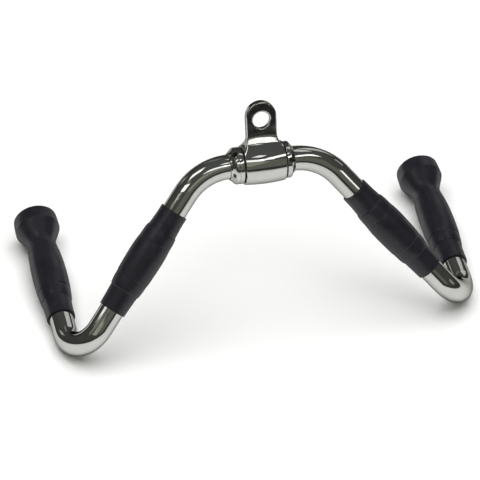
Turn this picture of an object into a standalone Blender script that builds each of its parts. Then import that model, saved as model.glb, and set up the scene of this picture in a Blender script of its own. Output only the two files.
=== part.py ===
"""Revolving cable bar for strength training machines.

One bent steel bar carries a hub that turns on its straight middle. The hub is a crowned
sleeve with a hanging eye, it runs on two flanged bushes, and two collars with grub screws
keep it in place. Each arm drops from a shoulder bend, carries a short rubber grip, turns
through a hairpin bend and ends in a handle, whose longer rubber grip ends in a knob.

The bar stands on its two hairpin bends and its two handles. World origin: on the floor,
at the middle of the footprint, +Z up, +X along the hub's axis, handles running to +Y.
"""

import math

import bmesh
import bpy
from mathutils import Matrix, Vector

MM = 0.001

# Fit between pieces that touch, and how meshes are closed and shaded
GAP = 0.3 * MM
MERGE_DISTANCE = 0.01 * MM
SHARP_ANGLE = math.radians(32.0)

# Bent bar: solid round steel of one inch
BAR_RADIUS = 12.7 * MM
MIDDLE_HALF = 34.0 * MM
SHOULDER_TURN = math.radians(51.5)
SHOULDER_RADIUS = 59.0 * MM
ARM_STRAIGHT = 160.0 * MM
HAIRPIN_RADIUS = 30.0 * MM
ARMS_TO_HANDLES = math.radians(55.0)
HANDLE_STRAIGHT = 156.0 * MM
BAR_SIDES = 24
SHOULDER_STEPS = 9
HAIRPIN_STEPS = 12

# Hub, measured along the bar's middle
HUB_CENTRE = 2.1 * MM
SLEEVE_HALF = 21.0 * MM
SLEEVE_END_RADIUS = 20.4 * MM
SLEEVE_CROWN_RADIUS = 21.7 * MM
SLEEVE_EDGE = 0.8 * MM
SLEEVE_STEPS = 8
SLEEVE_SEGMENTS = 36
EYE_LEAN = math.radians(19.0)
EYE_WIDTH = 31.7 * MM
EYE_THICKNESS = 8.2 * MM
EYE_TOP = 66.2 * MM
EYE_HOLE_HEIGHT = 46.8 * MM
EYE_HOLE_RADIUS = 9.0 * MM
EYE_HOLE_EDGE = 3.7 * MM
EYE_OUTER_EDGE = 2.4 * MM
EYE_FOOT = 16.6 * MM
EYE_FLAT_END = 29.5 * MM
EYE_FLARE = 4.7 * MM
EYE_RAMP_TURN = math.radians(43.0)
EYE_RAMP_FOLD = 3.4 * MM
EYE_FOOT_PARTS = (0.0, 0.4, 0.75)
EYE_FLARE_STEPS = 4
EYE_SIDE_STEPS = 4
EYE_ROUND_STEPS = 8
EYE_FACE_STEPS = 5
EYE_HOLE_EDGE_STEPS = 4

# Bushes
BUSH_LENGTH = 14.0 * MM
BUSH_WALL = 2.2 * MM
FLANGE_THICKNESS = 0.8 * MM
FLANGE_RADIUS = 17.9 * MM
BUSH_SEGMENTS = 28

# Collars and their grub screws
COLLAR_RADIUS = 18.9 * MM
COLLAR_NOSE_RADIUS = 13.9 * MM
COLLAR_EDGE = 0.5 * MM
COLLAR_TAPER_ROUND = 0.9 * MM
COLLAR_TAPER_PART = 0.25
COLLAR_SEGMENTS = 32
LEFT_COLLAR_LENGTH = 13.2 * MM
LEFT_COLLAR_LAND = 7.2 * MM
RIGHT_COLLAR_LENGTH = 8.8 * MM
RIGHT_COLLAR_LAND = 4.4 * MM
SCREW_RADIUS = 2.7 * MM
SCREW_LENGTH = 3.6 * MM
SCREW_EDGE = 0.4 * MM
SCREW_SIDES = 18
SCREW_SOCKET_ACROSS = 3.0 * MM
SCREW_SOCKET_DEPTH = 1.8 * MM
SOCKET_SIDES = 6
SCREW_HOLE_BELOW = 2.0 * MM
SCREW_HOLE_ABOVE = 9.0 * MM
SCREW_HOLE_SEGMENTS = 20
LEFT_SCREW_FROM_NOSE = 5.6 * MM
RIGHT_SCREW_FROM_NOSE = 5.2 * MM
LEFT_SCREW_ELEVATION = math.radians(79.0)
RIGHT_SCREW_ELEVATION = math.radians(37.0)

# Rubber grips: one profile, mirrored at both ends of an inner grip
GRIP_BORE = BAR_RADIUS + GAP
GRIP_RIM_RADIUS = 14.4 * MM
GRIP_CUFF_RADIUS = 15.2 * MM
GRIP_CUFF = 22.5 * MM
GRIP_STEP = 1.5 * MM
GRIP_BAND_START_RADIUS = 15.8 * MM
GRIP_BAND_END_RADIUS = 17.2 * MM
GRIP_BAND = 12.0 * MM
GRIP_SWELL_RADIUS = 18.1 * MM
GRIP_SWELL_STEPS = 6
GRIP_SEGMENTS = 28
INNER_GRIP_STARTS = {"left": 20.3 * MM, "right": 23.4 * MM}
INNER_GRIP_LENGTH = 117.4 * MM
OUTER_GRIP_START = 19.5 * MM
OUTER_SWELL_LENGTH = 55.0 * MM
OUTER_SWELL_END_RADIUS = 16.7 * MM
NECK_RADIUS = 15.1 * MM
NECK_MIDDLE = 103.5 * MM
FLARE_PART = 0.25
FLARE_RISE = 0.16
KNOB_RADIUS = 23.3 * MM
KNOB_START = 126.4 * MM
KNOB_END_RADIUS = 22.9 * MM
KNOB_EDGE = 2.4 * MM
KNOB_EDGE_PART = 0.3
OUTER_GRIP_LENGTH = 144.0 * MM

# Standing on the floor
STEEPEST_TILT = math.radians(15.0)
TILT_ROUNDS = 40

LEFT, RIGHT = -1, 1
SIDES = {"left": LEFT, "right": RIGHT}
X_AXIS = Vector((1.0, 0.0, 0.0))
ARM_DIRECTION = Vector((math.cos(SHOULDER_TURN), -math.sin(SHOULDER_TURN), 0.0))
HANDLE_DIRECTION = Vector((0.0, math.cos(ARMS_TO_HANDLES), -math.sin(ARMS_TO_HANDLES)))


def mirrored(vector, side):
    """The vector on the left or the right of the bar's middle plane."""
    return Vector((side * vector.x, vector.y, vector.z))


def arc(start, heading, end_heading, radius, steps):
    """Points and headings along a bend from one heading to another."""
    turn = heading.angle(end_heading)
    inward = (end_heading - end_heading.dot(heading) * heading).normalized()
    stations = []
    for i in range(steps + 1):
        angle = turn * i / steps
        point = start + radius * (math.sin(angle) * heading + (1.0 - math.cos(angle)) * inward)
        stations.append((point, math.cos(angle) * heading + math.sin(angle) * inward))
    return stations


def right_centre_line():
    """Stations of the bar's right half, from the hub to the end of the handle."""
    shoulder = arc(MIDDLE_HALF * X_AXIS, X_AXIS, ARM_DIRECTION, SHOULDER_RADIUS, SHOULDER_STEPS)
    arm_end = shoulder[-1][0] + ARM_STRAIGHT * ARM_DIRECTION
    hairpin = arc(arm_end, ARM_DIRECTION, HANDLE_DIRECTION, HAIRPIN_RADIUS, HAIRPIN_STEPS)
    handle_end = hairpin[-1][0] + HANDLE_STRAIGHT * HANDLE_DIRECTION
    return shoulder + hairpin + [(handle_end, HANDLE_DIRECTION)]


SHOULDER_END = right_centre_line()[SHOULDER_STEPS][0]
HANDLE_START = right_centre_line()[-2][0]


def inner_grip_outline():
    """Outer outline (distance from the rim, radius) of an inner grip, the same at both ends."""
    half = [
        (0.0, GRIP_RIM_RADIUS),
        (GRIP_CUFF, GRIP_CUFF_RADIUS),
        (GRIP_CUFF + GRIP_STEP, GRIP_BAND_START_RADIUS),
    ]
    start = GRIP_CUFF + GRIP_STEP + GRIP_BAND
    swell = swell_outline(start, INNER_GRIP_LENGTH - start, GRIP_BAND_END_RADIUS)
    return half + swell + [(INNER_GRIP_LENGTH - s, r) for s, r in reversed(half)]


def swell_outline(start, end, end_radius):
    """The palm swell between two stations, a flat arch over its chord."""
    outline = []
    for i in range(GRIP_SWELL_STEPS + 1):
        part = i / GRIP_SWELL_STEPS
        chord = GRIP_BAND_END_RADIUS + (end_radius - GRIP_BAND_END_RADIUS) * part
        middle_chord = (GRIP_BAND_END_RADIUS + end_radius) / 2.0
        rise = (GRIP_SWELL_RADIUS - middle_chord) * 4.0 * part * (1.0 - part)
        outline.append((start + (end - start) * part, chord + rise))
    return outline


def outer_grip_outline():
    """Outer outline of an outer grip, from its open rim to the flat end of its knob."""
    swell_start = GRIP_CUFF + GRIP_STEP + GRIP_BAND
    flare_station = NECK_MIDDLE + (KNOB_START - NECK_MIDDLE) * FLARE_PART
    flare_radius = NECK_RADIUS + (KNOB_RADIUS - NECK_RADIUS) * FLARE_RISE
    knob_edge = KNOB_EDGE * KNOB_EDGE_PART
    return [
        (0.0, GRIP_RIM_RADIUS),
        (GRIP_CUFF, GRIP_CUFF_RADIUS),
        (GRIP_CUFF + GRIP_STEP, GRIP_BAND_START_RADIUS),
        *swell_outline(swell_start, swell_start + OUTER_SWELL_LENGTH, OUTER_SWELL_END_RADIUS),
        (NECK_MIDDLE, NECK_RADIUS),
        (flare_station, flare_radius),
        (KNOB_START, KNOB_RADIUS),
        (OUTER_GRIP_LENGTH - KNOB_EDGE, KNOB_END_RADIUS),
        (OUTER_GRIP_LENGTH - knob_edge, KNOB_END_RADIUS - knob_edge),
        (OUTER_GRIP_LENGTH, KNOB_END_RADIUS - KNOB_EDGE),
    ]


def reach(rings, direction):
    """How far rings (centre, heading, radius) reach along a direction."""
    return max(
        centre.dot(direction) + radius * math.sqrt(max(0.0, 1.0 - heading.dot(direction) ** 2))
        for centre, heading, radius in rings
    )


def bar_rings():
    """The bar's right half as rings."""
    return [(point, heading, BAR_RADIUS) for point, heading in right_centre_line()]


def handle_rings():
    """The right outer grip as rings."""
    start = HANDLE_START + OUTER_GRIP_START * HANDLE_DIRECTION
    return [(start + s * HANDLE_DIRECTION, HANDLE_DIRECTION, r) for s, r in outer_grip_outline()]


def world_axes(tilt):
    """World +Y and +Z in the bar's frame, with the handles rising by the tilt toward +Y."""
    lift = ARMS_TO_HANDLES + tilt
    forward = Vector((0.0, math.cos(lift), -math.sin(lift)))
    upward = Vector((0.0, math.sin(lift), math.cos(lift)))
    return forward, upward


def resting_tilt():
    """Rise of the handles when the hairpin bends and the handles both touch the floor."""
    low, high = 0.0, STEEPEST_TILT
    for _ in range(TILT_ROUNDS):
        tilt = (low + high) / 2.0
        down = -world_axes(tilt)[1]
        if reach(handle_rings(), down) > reach(bar_rings(), down):
            low = tilt
        else:
            high = tilt
    return (low + high) / 2.0


RESTING_TILT = resting_tilt()
WORLD_FORWARD, WORLD_UP = world_axes(RESTING_TILT)
STANDING_RINGS = bar_rings() + handle_rings()
HUB_HEIGHT = reach(STANDING_RINGS, -WORLD_UP)
HUB_DEPTH = (reach(STANDING_RINGS, -WORLD_FORWARD) - reach(STANDING_RINGS, WORLD_FORWARD)) / 2.0


def material(name, colour, roughness, metallic):
    """A plain Principled material."""
    made = bpy.data.materials.new(name)
    made.use_nodes = True
    shader = made.node_tree.nodes["Principled BSDF"]
    shader.inputs["Base Color"].default_value = (*colour, 1.0)
    shader.inputs["Roughness"].default_value = roughness
    shader.inputs["Metallic"].default_value = metallic
    return made


def chrome(name):
    """Bright chrome plate."""
    return material(name, (0.62, 0.63, 0.62), 0.07, 1.0)


def rubber(name):
    """Near-black moulded rubber."""
    return material(name, (0.018, 0.018, 0.021), 0.48, 0.0)


def node(name, mesh, parent, surface, placed=Matrix.Identity(4)):
    """A named object under its parent empty, shaded smooth up to sharp edges."""
    mesh.materials.append(surface)
    mesh.shade_smooth()
    mesh.set_sharp_from_angle(angle=SHARP_ANGLE)
    made = bpy.data.objects.new(name, mesh)
    made.parent = parent
    made.matrix_local = placed
    bpy.context.collection.objects.link(made)
    return made


def finished(bm, name):
    """The bmesh as a mesh with its faces pointing out."""
    bmesh.ops.recalc_face_normals(bm, faces=bm.faces)
    mesh = bpy.data.meshes.new(name)
    bm.to_mesh(mesh)
    bm.free()
    return mesh


def turned(name, outline, segments):
    """A closed outline (distance along local Z, radius) turned round local Z."""
    bm = bmesh.new()
    corners = [bm.verts.new((radius, 0.0, along)) for along, radius in outline]
    on_axis = outline[0][1] == 0.0 and outline[-1][1] == 0.0
    pairs = list(zip(corners, corners[1:]))
    if not on_axis:
        pairs.append((corners[-1], corners[0]))
    edges = [bm.edges.new(pair) for pair in pairs]
    bmesh.ops.spin(
        bm, geom=corners + edges, cent=(0.0, 0.0, 0.0), axis=(0.0, 0.0, 1.0),
        dvec=(0.0, 0.0, 0.0), angle=math.tau, steps=segments, use_merge=True,
    )
    bmesh.ops.remove_doubles(bm, verts=bm.verts, dist=MERGE_DISTANCE)
    return finished(bm, name)


def facing(origin, direction):
    """Placement with local Z along a direction and local X as far down as it goes."""
    down = -WORLD_UP
    lowest = (down - down.dot(direction) * direction).normalized()
    side = direction.cross(lowest)
    columns = Matrix((lowest, side, direction)).transposed()
    return Matrix.Translation(origin) @ columns.to_4x4()


def bent_bar(parent):
    """The whole bent bar, a ring of points at each station of its centre line."""
    right = right_centre_line()
    left = [(mirrored(point, LEFT), mirrored(-heading, LEFT)) for point, heading in right]
    # mirrored headings point from the left handle toward the hub
    stations = list(reversed(left)) + right
    bm = bmesh.new()
    rings = []
    for point, heading in stations:
        frame = facing(point, heading)
        ring = []
        for i in range(BAR_SIDES):
            angle = math.tau * i / BAR_SIDES
            local = Vector((BAR_RADIUS * math.cos(angle), BAR_RADIUS * math.sin(angle), 0.0))
            ring.append(bm.verts.new(frame @ local))
        rings.append(ring)
    for ring, following in zip(rings, rings[1:]):
        for i in range(BAR_SIDES):
            j = (i + 1) % BAR_SIDES
            bm.faces.new((ring[i], ring[j], following[j], following[i]))
    bm.faces.new(rings[0])
    bm.faces.new(rings[-1])
    node("bent_bar", finished(bm, "bent_bar"), parent, chrome("bar_chrome"))


def inner_grip(side_name, parent):
    """A rubber sleeve on the arm, open at both ends."""
    side = SIDES[side_name]
    name = "inner_grip_" + side_name
    outline = inner_grip_outline() + [(INNER_GRIP_LENGTH, GRIP_BORE), (0.0, GRIP_BORE)]
    start = mirrored(SHOULDER_END + INNER_GRIP_STARTS[side_name] * ARM_DIRECTION, side)
    placed = facing(start, mirrored(ARM_DIRECTION, side))
    node(name, turned(name, outline, GRIP_SEGMENTS), parent, rubber(name), placed)


def outer_grip(side_name, parent):
    """A rubber sleeve on the handle, closed by its knob."""
    side = SIDES[side_name]
    name = "outer_grip_" + side_name
    bore_end = HANDLE_STRAIGHT - OUTER_GRIP_START + GAP
    outline = [(bore_end, 0.0), (bore_end, GRIP_BORE), (0.0, GRIP_BORE)]
    outline += outer_grip_outline() + [(OUTER_GRIP_LENGTH, 0.0)]
    start = mirrored(HANDLE_START + OUTER_GRIP_START * HANDLE_DIRECTION, side)
    placed = facing(start, mirrored(HANDLE_DIRECTION, side))
    node(name, turned(name, outline, GRIP_SEGMENTS), parent, rubber(name), placed)


def cutter(name, mesh, parent, placed):
    """An object that only cuts others."""
    made = bpy.data.objects.new(name, mesh)
    made.parent = parent
    made.matrix_local = placed
    made.hide_render = True
    made.display_type = "WIRE"
    bpy.context.collection.objects.link(made)
    return made


def boolean(target, other, operation):
    """A Boolean modifier on the target."""
    modifier = target.modifiers.new(operation.lower(), "BOOLEAN")
    modifier.operation = operation
    modifier.solver = "EXACT"
    modifier.object = other


def collar(side_name, length, land, screw_from_nose, screw_elevation, parent):
    """A shaft collar with a tapered nose, and the grub screw that locks it on the bar."""
    side = SIDES[side_name]
    name = "collar_" + side_name
    seam = HUB_CENTRE + side * (SLEEVE_HALF + FLANGE_THICKNESS + 2.0 * GAP)
    bore = BAR_RADIUS + GAP
    taper = length - land
    outline = [
        (0.0, bore),
        (0.0, COLLAR_RADIUS - COLLAR_EDGE),
        (COLLAR_EDGE, COLLAR_RADIUS),
        (land, COLLAR_RADIUS),
        (land + taper * COLLAR_TAPER_PART, COLLAR_RADIUS - COLLAR_TAPER_ROUND),
        (length - taper * COLLAR_TAPER_PART, COLLAR_NOSE_RADIUS + COLLAR_TAPER_ROUND),
        (length, COLLAR_NOSE_RADIUS),
        (length, bore),
    ]
    placed = facing(seam * X_AXIS, side * X_AXIS)
    made = node(name, turned(name, outline, COLLAR_SEGMENTS), parent, chrome(name), placed)

    along = seam + side * (length - screw_from_nose)
    lift = screw_elevation - math.pi / 2.0
    outward = math.cos(lift) * WORLD_UP + math.sin(lift) * WORLD_FORWARD
    screw_foot = along * X_AXIS + bore * outward
    aimed = screw_placement(screw_foot, outward)
    hole_radius = SCREW_RADIUS + GAP
    hole = [
        (-SCREW_HOLE_BELOW, 0.0),
        (-SCREW_HOLE_BELOW, hole_radius),
        (SCREW_HOLE_ABOVE, hole_radius),
        (SCREW_HOLE_ABOVE, 0.0),
    ]
    cut_mesh = turned("cut_" + name, hole, SCREW_HOLE_SEGMENTS)
    boolean(made, cutter("cut_" + name, cut_mesh, parent, aimed), "DIFFERENCE")
    grub_screw(side_name, aimed, parent)


def screw_placement(foot, outward):
    """Placement with local Z pointing out of the bar and local X along it."""
    across = outward.cross(X_AXIS)
    columns = Matrix((X_AXIS, across, outward)).transposed()
    return Matrix.Translation(foot) @ columns.to_4x4()


def grub_screw(side_name, placed, parent):
    """A headless screw with a hexagon socket."""
    name = "set_screw_" + side_name
    sides = SCREW_SIDES
    edge = SCREW_EDGE
    foot = GAP
    top = SCREW_LENGTH
    socket = SCREW_SOCKET_ACROSS / math.sqrt(3.0)
    bm = bmesh.new()
    levels = [
        (foot, SCREW_RADIUS - edge, sides),
        (foot + edge, SCREW_RADIUS, sides),
        (top - edge, SCREW_RADIUS, sides),
        (top, SCREW_RADIUS - edge, sides),
        (top, socket, SOCKET_SIDES),
        (top - SCREW_SOCKET_DEPTH, socket, SOCKET_SIDES),
    ]
    rings = []
    for height, radius, count in levels:
        step = sides // count
        ring = []
        for i in range(count):
            angle = math.tau * i * step / sides
            ring.append(bm.verts.new((radius * math.cos(angle), radius * math.sin(angle), height)))
        rings.append(ring)
    for ring, following in zip(rings, rings[1:]):
        bridge(bm, ring, following)
    bm.faces.new(rings[0])
    bm.faces.new(rings[-1])
    surface = material(name, (0.05, 0.05, 0.052), 0.32, 1.0)
    node(name, finished(bm, name), parent, surface, placed)


def bridge(bm, ring, following):
    """Faces between two rings whose point counts divide each other."""
    ratio = len(ring) // len(following)
    for i in range(len(ring)):
        j = (i + 1) % len(ring)
        near = following[i // ratio % len(following)]
        far = following[(i // ratio + 1) % len(following)]
        if (i + 1) % ratio == 0:
            bm.faces.new((ring[i], ring[j], far, near))
        else:
            bm.faces.new((ring[i], ring[j], near))


def sleeve_outline():
    """Closed outline of the crowned sleeve, centred on the hub."""
    bore = BAR_RADIUS + BUSH_WALL + 2.0 * GAP
    outline = [(-SLEEVE_HALF, bore), (-SLEEVE_HALF, SLEEVE_END_RADIUS - SLEEVE_EDGE)]
    for i in range(SLEEVE_STEPS + 1):
        part = -1.0 + 2.0 * i / SLEEVE_STEPS
        crown = SLEEVE_END_RADIUS + (SLEEVE_CROWN_RADIUS - SLEEVE_END_RADIUS) * (1.0 - part ** 2)
        outline.append((part * (SLEEVE_HALF - SLEEVE_EDGE), crown))
    outline += [(SLEEVE_HALF, SLEEVE_END_RADIUS - SLEEVE_EDGE), (SLEEVE_HALF, bore)]
    return outline


def eye_half_thickness(across, height):
    """Half thickness of the eye: a flat plate above, a ramp onto the sleeve below."""
    bulge = 1.0 - (across / SLEEVE_HALF) ** 2
    crown = SLEEVE_END_RADIUS + (SLEEVE_CROWN_RADIUS - SLEEVE_END_RADIUS) * bulge
    ramp = (crown - height * math.sin(EYE_RAMP_TURN)) / math.cos(EYE_RAMP_TURN)
    plate = EYE_THICKNESS / 2.0
    overlap = max(EYE_RAMP_FOLD - abs(plate - ramp), 0.0) / EYE_RAMP_FOLD
    return max(plate, ramp) + EYE_RAMP_FOLD * overlap ** 3 / 6.0


def eye_outline():
    """Outline of the eye seen from the front, from its foot's middle round over the top."""
    half_width = EYE_WIDTH / 2.0
    foot_width = half_width + EYE_FLARE
    round_centre = EYE_TOP - half_width
    right = [(foot_width * part, EYE_FOOT) for part in EYE_FOOT_PARTS]
    for i in range(EYE_FLARE_STEPS + 1):
        part = i / EYE_FLARE_STEPS
        height = EYE_FOOT + (EYE_FLAT_END - EYE_FOOT) * part
        right.append((half_width + EYE_FLARE * (1.0 - part) ** 2, height))
    for i in range(1, EYE_SIDE_STEPS):
        part = i / EYE_SIDE_STEPS
        right.append((half_width, EYE_FLAT_END + (round_centre - EYE_FLAT_END) * part))
    for i in range(EYE_ROUND_STEPS + 1):
        angle = math.pi / 2.0 * i / EYE_ROUND_STEPS
        right.append((half_width * math.cos(angle), round_centre + half_width * math.sin(angle)))
    return right + [(-across, height) for across, height in reversed(right[1:-1])]


def eye_section(across, height):
    """Closed section of the eye along a ray from the hole's centre to an outline point."""
    ray = Vector((across, height - EYE_HOLE_HEIGHT))
    length = ray.length
    ray.normalize()
    span_start = EYE_HOLE_RADIUS + EYE_HOLE_EDGE
    span_end = length - EYE_OUTER_EDGE
    diagonal = math.sqrt(0.5)
    stops = []
    for i in range(EYE_HOLE_EDGE_STEPS + 1):
        angle = math.pi / 2.0 * i / EYE_HOLE_EDGE_STEPS
        distance = EYE_HOLE_RADIUS + EYE_HOLE_EDGE * (1.0 - math.cos(angle))
        stops.append((distance, -EYE_HOLE_EDGE * (1.0 - math.sin(angle))))
    for i in range(1, EYE_FACE_STEPS + 1):
        stops.append((span_start + (span_end - span_start) * i / EYE_FACE_STEPS, 0.0))
    stops += [
        (span_end + EYE_OUTER_EDGE * diagonal, -EYE_OUTER_EDGE * (1.0 - diagonal)),
        (length, -EYE_OUTER_EDGE),
    ]
    front = []
    for distance, inset in stops:
        x = ray.x * distance
        y = EYE_HOLE_HEIGHT + ray.y * distance
        front.append(Vector((x, y, eye_half_thickness(x, y) + inset)))
    return front + [Vector((p.x, p.y, -p.z)) for p in reversed(front)]


def eye_mesh():
    """The eye as a closed band round its hole."""
    bm = bmesh.new()
    sections = []
    for across, height in eye_outline():
        sections.append([bm.verts.new(point) for point in eye_section(across, height)])
    for section, following in zip(sections, sections[1:] + sections[:1]):
        for i in range(len(section)):
            j = (i + 1) % len(section)
            bm.faces.new((section[i], section[j], following[j], following[i]))
    return finished(bm, "eye")


def hub(parent):
    """The crowned sleeve and its eye, one casting."""
    along_x = Matrix.Rotation(math.pi / 2.0, 4, "Y")
    sleeve_mesh = turned("hub_sleeve", sleeve_outline(), SLEEVE_SEGMENTS)
    sleeve = node("hub_sleeve", sleeve_mesh, parent, chrome("hub_chrome"), along_x)
    eye = cutter("eye_blank", eye_mesh(), parent, Matrix.Identity(4))
    boolean(sleeve, eye, "UNION")


def bush(side_name, parent):
    """A flanged plain bush pressed into one end of the sleeve."""
    side = SIDES[side_name]
    name = "bush_" + side_name
    bore = BAR_RADIUS + GAP
    body = bore + BUSH_WALL
    flange_start = GAP
    outline = [
        (flange_start - BUSH_LENGTH, bore),
        (flange_start - BUSH_LENGTH, body),
        (flange_start, body),
        (flange_start, FLANGE_RADIUS),
        (flange_start + FLANGE_THICKNESS, FLANGE_RADIUS),
        (flange_start + FLANGE_THICKNESS, bore),
    ]
    placed = Matrix.Translation(side * SLEEVE_HALF * X_AXIS) @ Matrix.Rotation(
        side * math.pi / 2.0, 4, "Y")
    surface = material(name, (0.02, 0.02, 0.02), 0.42, 0.0)
    node(name, turned(name, outline, BUSH_SEGMENTS), parent, surface, placed)


def empty(name, location, turn):
    """An empty turned about the hub's axis."""
    made = bpy.data.objects.new(name, None)
    made.location = location
    made.rotation_euler = (turn, 0.0, 0.0)
    bpy.context.collection.objects.link(made)
    return made


def clear_scene():
    """Remove what the scene holds."""
    for existing in list(bpy.data.objects):
        bpy.data.objects.remove(existing, do_unlink=True)


def main():
    """Build the bar standing on its hairpin bends and handles."""
    clear_scene()
    bar_frame = empty("bar_frame", (0.0, HUB_DEPTH, HUB_HEIGHT), ARMS_TO_HANDLES + RESTING_TILT)
    hub_location = (HUB_CENTRE, HUB_DEPTH, HUB_HEIGHT)
    hub_frame = empty("hub_frame", hub_location, math.pi / 2.0 - EYE_LEAN)
    bent_bar(bar_frame)
    for side_name in SIDES:
        inner_grip(side_name, bar_frame)
        outer_grip(side_name, bar_frame)
        bush(side_name, hub_frame)
    collar("left", LEFT_COLLAR_LENGTH, LEFT_COLLAR_LAND,
           LEFT_SCREW_FROM_NOSE, LEFT_SCREW_ELEVATION, bar_frame)
    collar("right", RIGHT_COLLAR_LENGTH, RIGHT_COLLAR_LAND,
           RIGHT_SCREW_FROM_NOSE, RIGHT_SCREW_ELEVATION, bar_frame)
    hub(hub_frame)


main()
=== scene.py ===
"""Looks of the revolving cable bar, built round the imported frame.

World frame: origin on the floor at the middle of the footprint, +Z up, +X along the hub's
axis, handles running to +Y. Lengths are in metres, written as millimetres times MM where
they belong to the bar.
"""

import math

import bmesh
import bpy
import numpy as np
from mathutils import Matrix, Vector

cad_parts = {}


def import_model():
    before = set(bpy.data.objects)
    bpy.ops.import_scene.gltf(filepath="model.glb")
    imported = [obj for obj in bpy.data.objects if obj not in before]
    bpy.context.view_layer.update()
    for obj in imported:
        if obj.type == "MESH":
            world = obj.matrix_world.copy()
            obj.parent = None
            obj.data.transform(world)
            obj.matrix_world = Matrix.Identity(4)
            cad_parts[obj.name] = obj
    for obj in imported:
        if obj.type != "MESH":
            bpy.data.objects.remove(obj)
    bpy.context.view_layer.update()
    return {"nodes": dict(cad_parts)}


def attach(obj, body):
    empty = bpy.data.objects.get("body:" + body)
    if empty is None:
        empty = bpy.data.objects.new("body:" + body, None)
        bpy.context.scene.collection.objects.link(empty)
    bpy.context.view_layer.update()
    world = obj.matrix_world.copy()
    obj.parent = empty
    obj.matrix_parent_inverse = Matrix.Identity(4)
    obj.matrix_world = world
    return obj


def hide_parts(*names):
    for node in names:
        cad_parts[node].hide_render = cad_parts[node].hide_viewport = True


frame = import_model()

MM = 0.001

# Camera at the photograph's viewing angle, its lens and sensor in millimetres
CAMERA_PLACE = (-0.64749, -2.27010, 2.15416)
CAMERA_ELEVATION = math.radians(41.709)
CAMERA_AZIMUTH = math.radians(-15.609)
CAMERA_ROLL = math.radians(2.823)
CAMERA_LENS = 228.118
CAMERA_SENSOR = 36.0
CAMERA_CLIP_END = 60.0

# The bar as it stands
HUB_Y = -14.7717 * MM
HUB_Z = 168.9367 * MM
ARMS_TO_HANDLES = math.radians(55.0)
HANDLE_RISE = math.radians(4.605714)
BAR_RADIUS = 12.7 * MM
MIDDLE_HALF = 34.0 * MM
SHOULDER_TURN = math.radians(51.5)
SHOULDER_RADIUS = 59.0 * MM
ARM_STRAIGHT = 160.0 * MM
HAIRPIN_RADIUS = 30.0 * MM
HANDLE_STRAIGHT = 156.0 * MM
BAR_SIDES = 72
SHOULDER_STEPS = 36
HAIRPIN_STEPS = 60
STRAIGHT_STEPS = 4

# Sleeve of the hub, its outer radius larger in the middle than at the ends
HUB_X = 2.1 * MM
SLEEVE_HALF = 21.0 * MM
SLEEVE_END = 20.4 * MM
SLEEVE_CROWN = 21.7 * MM
SLEEVE_EDGE = 0.9 * MM
SLEEVE_BORE = 15.3 * MM
BORE_EDGE = 0.5 * MM
# share of the half length out to which the crown's curve runs on
CROWN_LIMIT = 1.1

# Eye of the hub, heights measured from the sleeve's axis
EYE_LEAN = math.radians(19.0)
EYE_HALF_WIDTH = 15.85 * MM
EYE_HALF_THICKNESS = 4.1 * MM
EYE_TOP = 66.2 * MM
EYE_EDGE = 1.5 * MM
EYE_FOOT = 16.6 * MM
EYE_FLAT_END = 29.5 * MM
EYE_FLARE = 4.7 * MM
# share of the flare's height, below the foot, down to which it widens
FLARE_LIMIT = -0.3
HOLE_HEIGHT = 46.8 * MM
HOLE_RADIUS = 8.7 * MM
HOLE_FRONT_EDGE = 1.5 * MM
HOLE_BACK_EDGE = 3.7 * MM

# Ramps and saddle facets that join the eye's two flat sides to the sleeve
RAMP_TURN = math.radians(43.0)
RAMP_FOLD = 0.3 * MM
SADDLE_TURN = math.radians(29.5)
SADDLE_INSET = 3.38 * MM
SADDLE_FOLD = 1.2 * MM
FOOT_BLEND = 1.6 * MM
LEAST_BLEND = 1e-7

# How the hub's voxel mesh is drawn onto its distance field
HUB_VOXEL = 0.5 * MM
SLOPE_STEP = 0.02 * MM
LONGEST_MOVE = 0.4 * MM
LEAST_SLOPE_SQUARED = 0.2
FIRST_ROUNDS = 6
SMOOTHINGS = 12
SMOOTHING_SHARE = 0.6
ROUNDS_AFTER_SMOOTHING = 2
LEAST_LENGTH = 1e-9

# Bushes
BUSH_LENGTH = 14.0 * MM
BUSH_WALL = 2.2 * MM
BUSH_ROUND = 0.3 * MM
FLANGE_THICKNESS = 0.8 * MM
FLANGE_RADIUS = 17.9 * MM
FLANGE_ROUND = 0.2 * MM
GAP = 0.3 * MM

# Collars: a flat land toward the hub, then a taper down to the nose. The screw is measured
# from the nose and the groove from the face toward the hub.
COLLAR_RADIUS = 18.9 * MM
NOSE_RADIUS = 13.9 * MM
COLLARS = {
    "left": {"length": 13.2 * MM, "land": 7.2 * MM, "screw": 5.6 * MM,
             "elevation": math.radians(79.0), "groove": 4.4 * MM},
    "right": {"length": 8.8 * MM, "land": 4.4 * MM, "screw": 5.2 * MM,
              "elevation": math.radians(37.0), "groove": None},
}
COLLAR_CLEARANCE = 0.04 * MM
FACE_ROUND = 0.5 * MM
LAND_ROUND = 0.9 * MM
TAPER_ROUND = 2.0 * MM
NOSE_ROUND = 0.45 * MM
GROOVE_HALF_WIDTH = 0.28 * MM
GROOVE_DEPTH = 0.3 * MM
GROOVE_EDGE = 0.08 * MM
GROOVE_FLOOR = 0.05 * MM
# share of the taper's length, share of its height above the nose
TAPER_POINTS = ((0.28, 0.80), (0.72, 0.24))

# Grub screws and their holes, heights measured from just above the bar's surface
SCREW_RADIUS = 2.7 * MM
SCREW_FOOT = 0.3 * MM
SCREW_TOP = 3.6 * MM
FOOT_CHAMFER = 0.4 * MM
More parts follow.
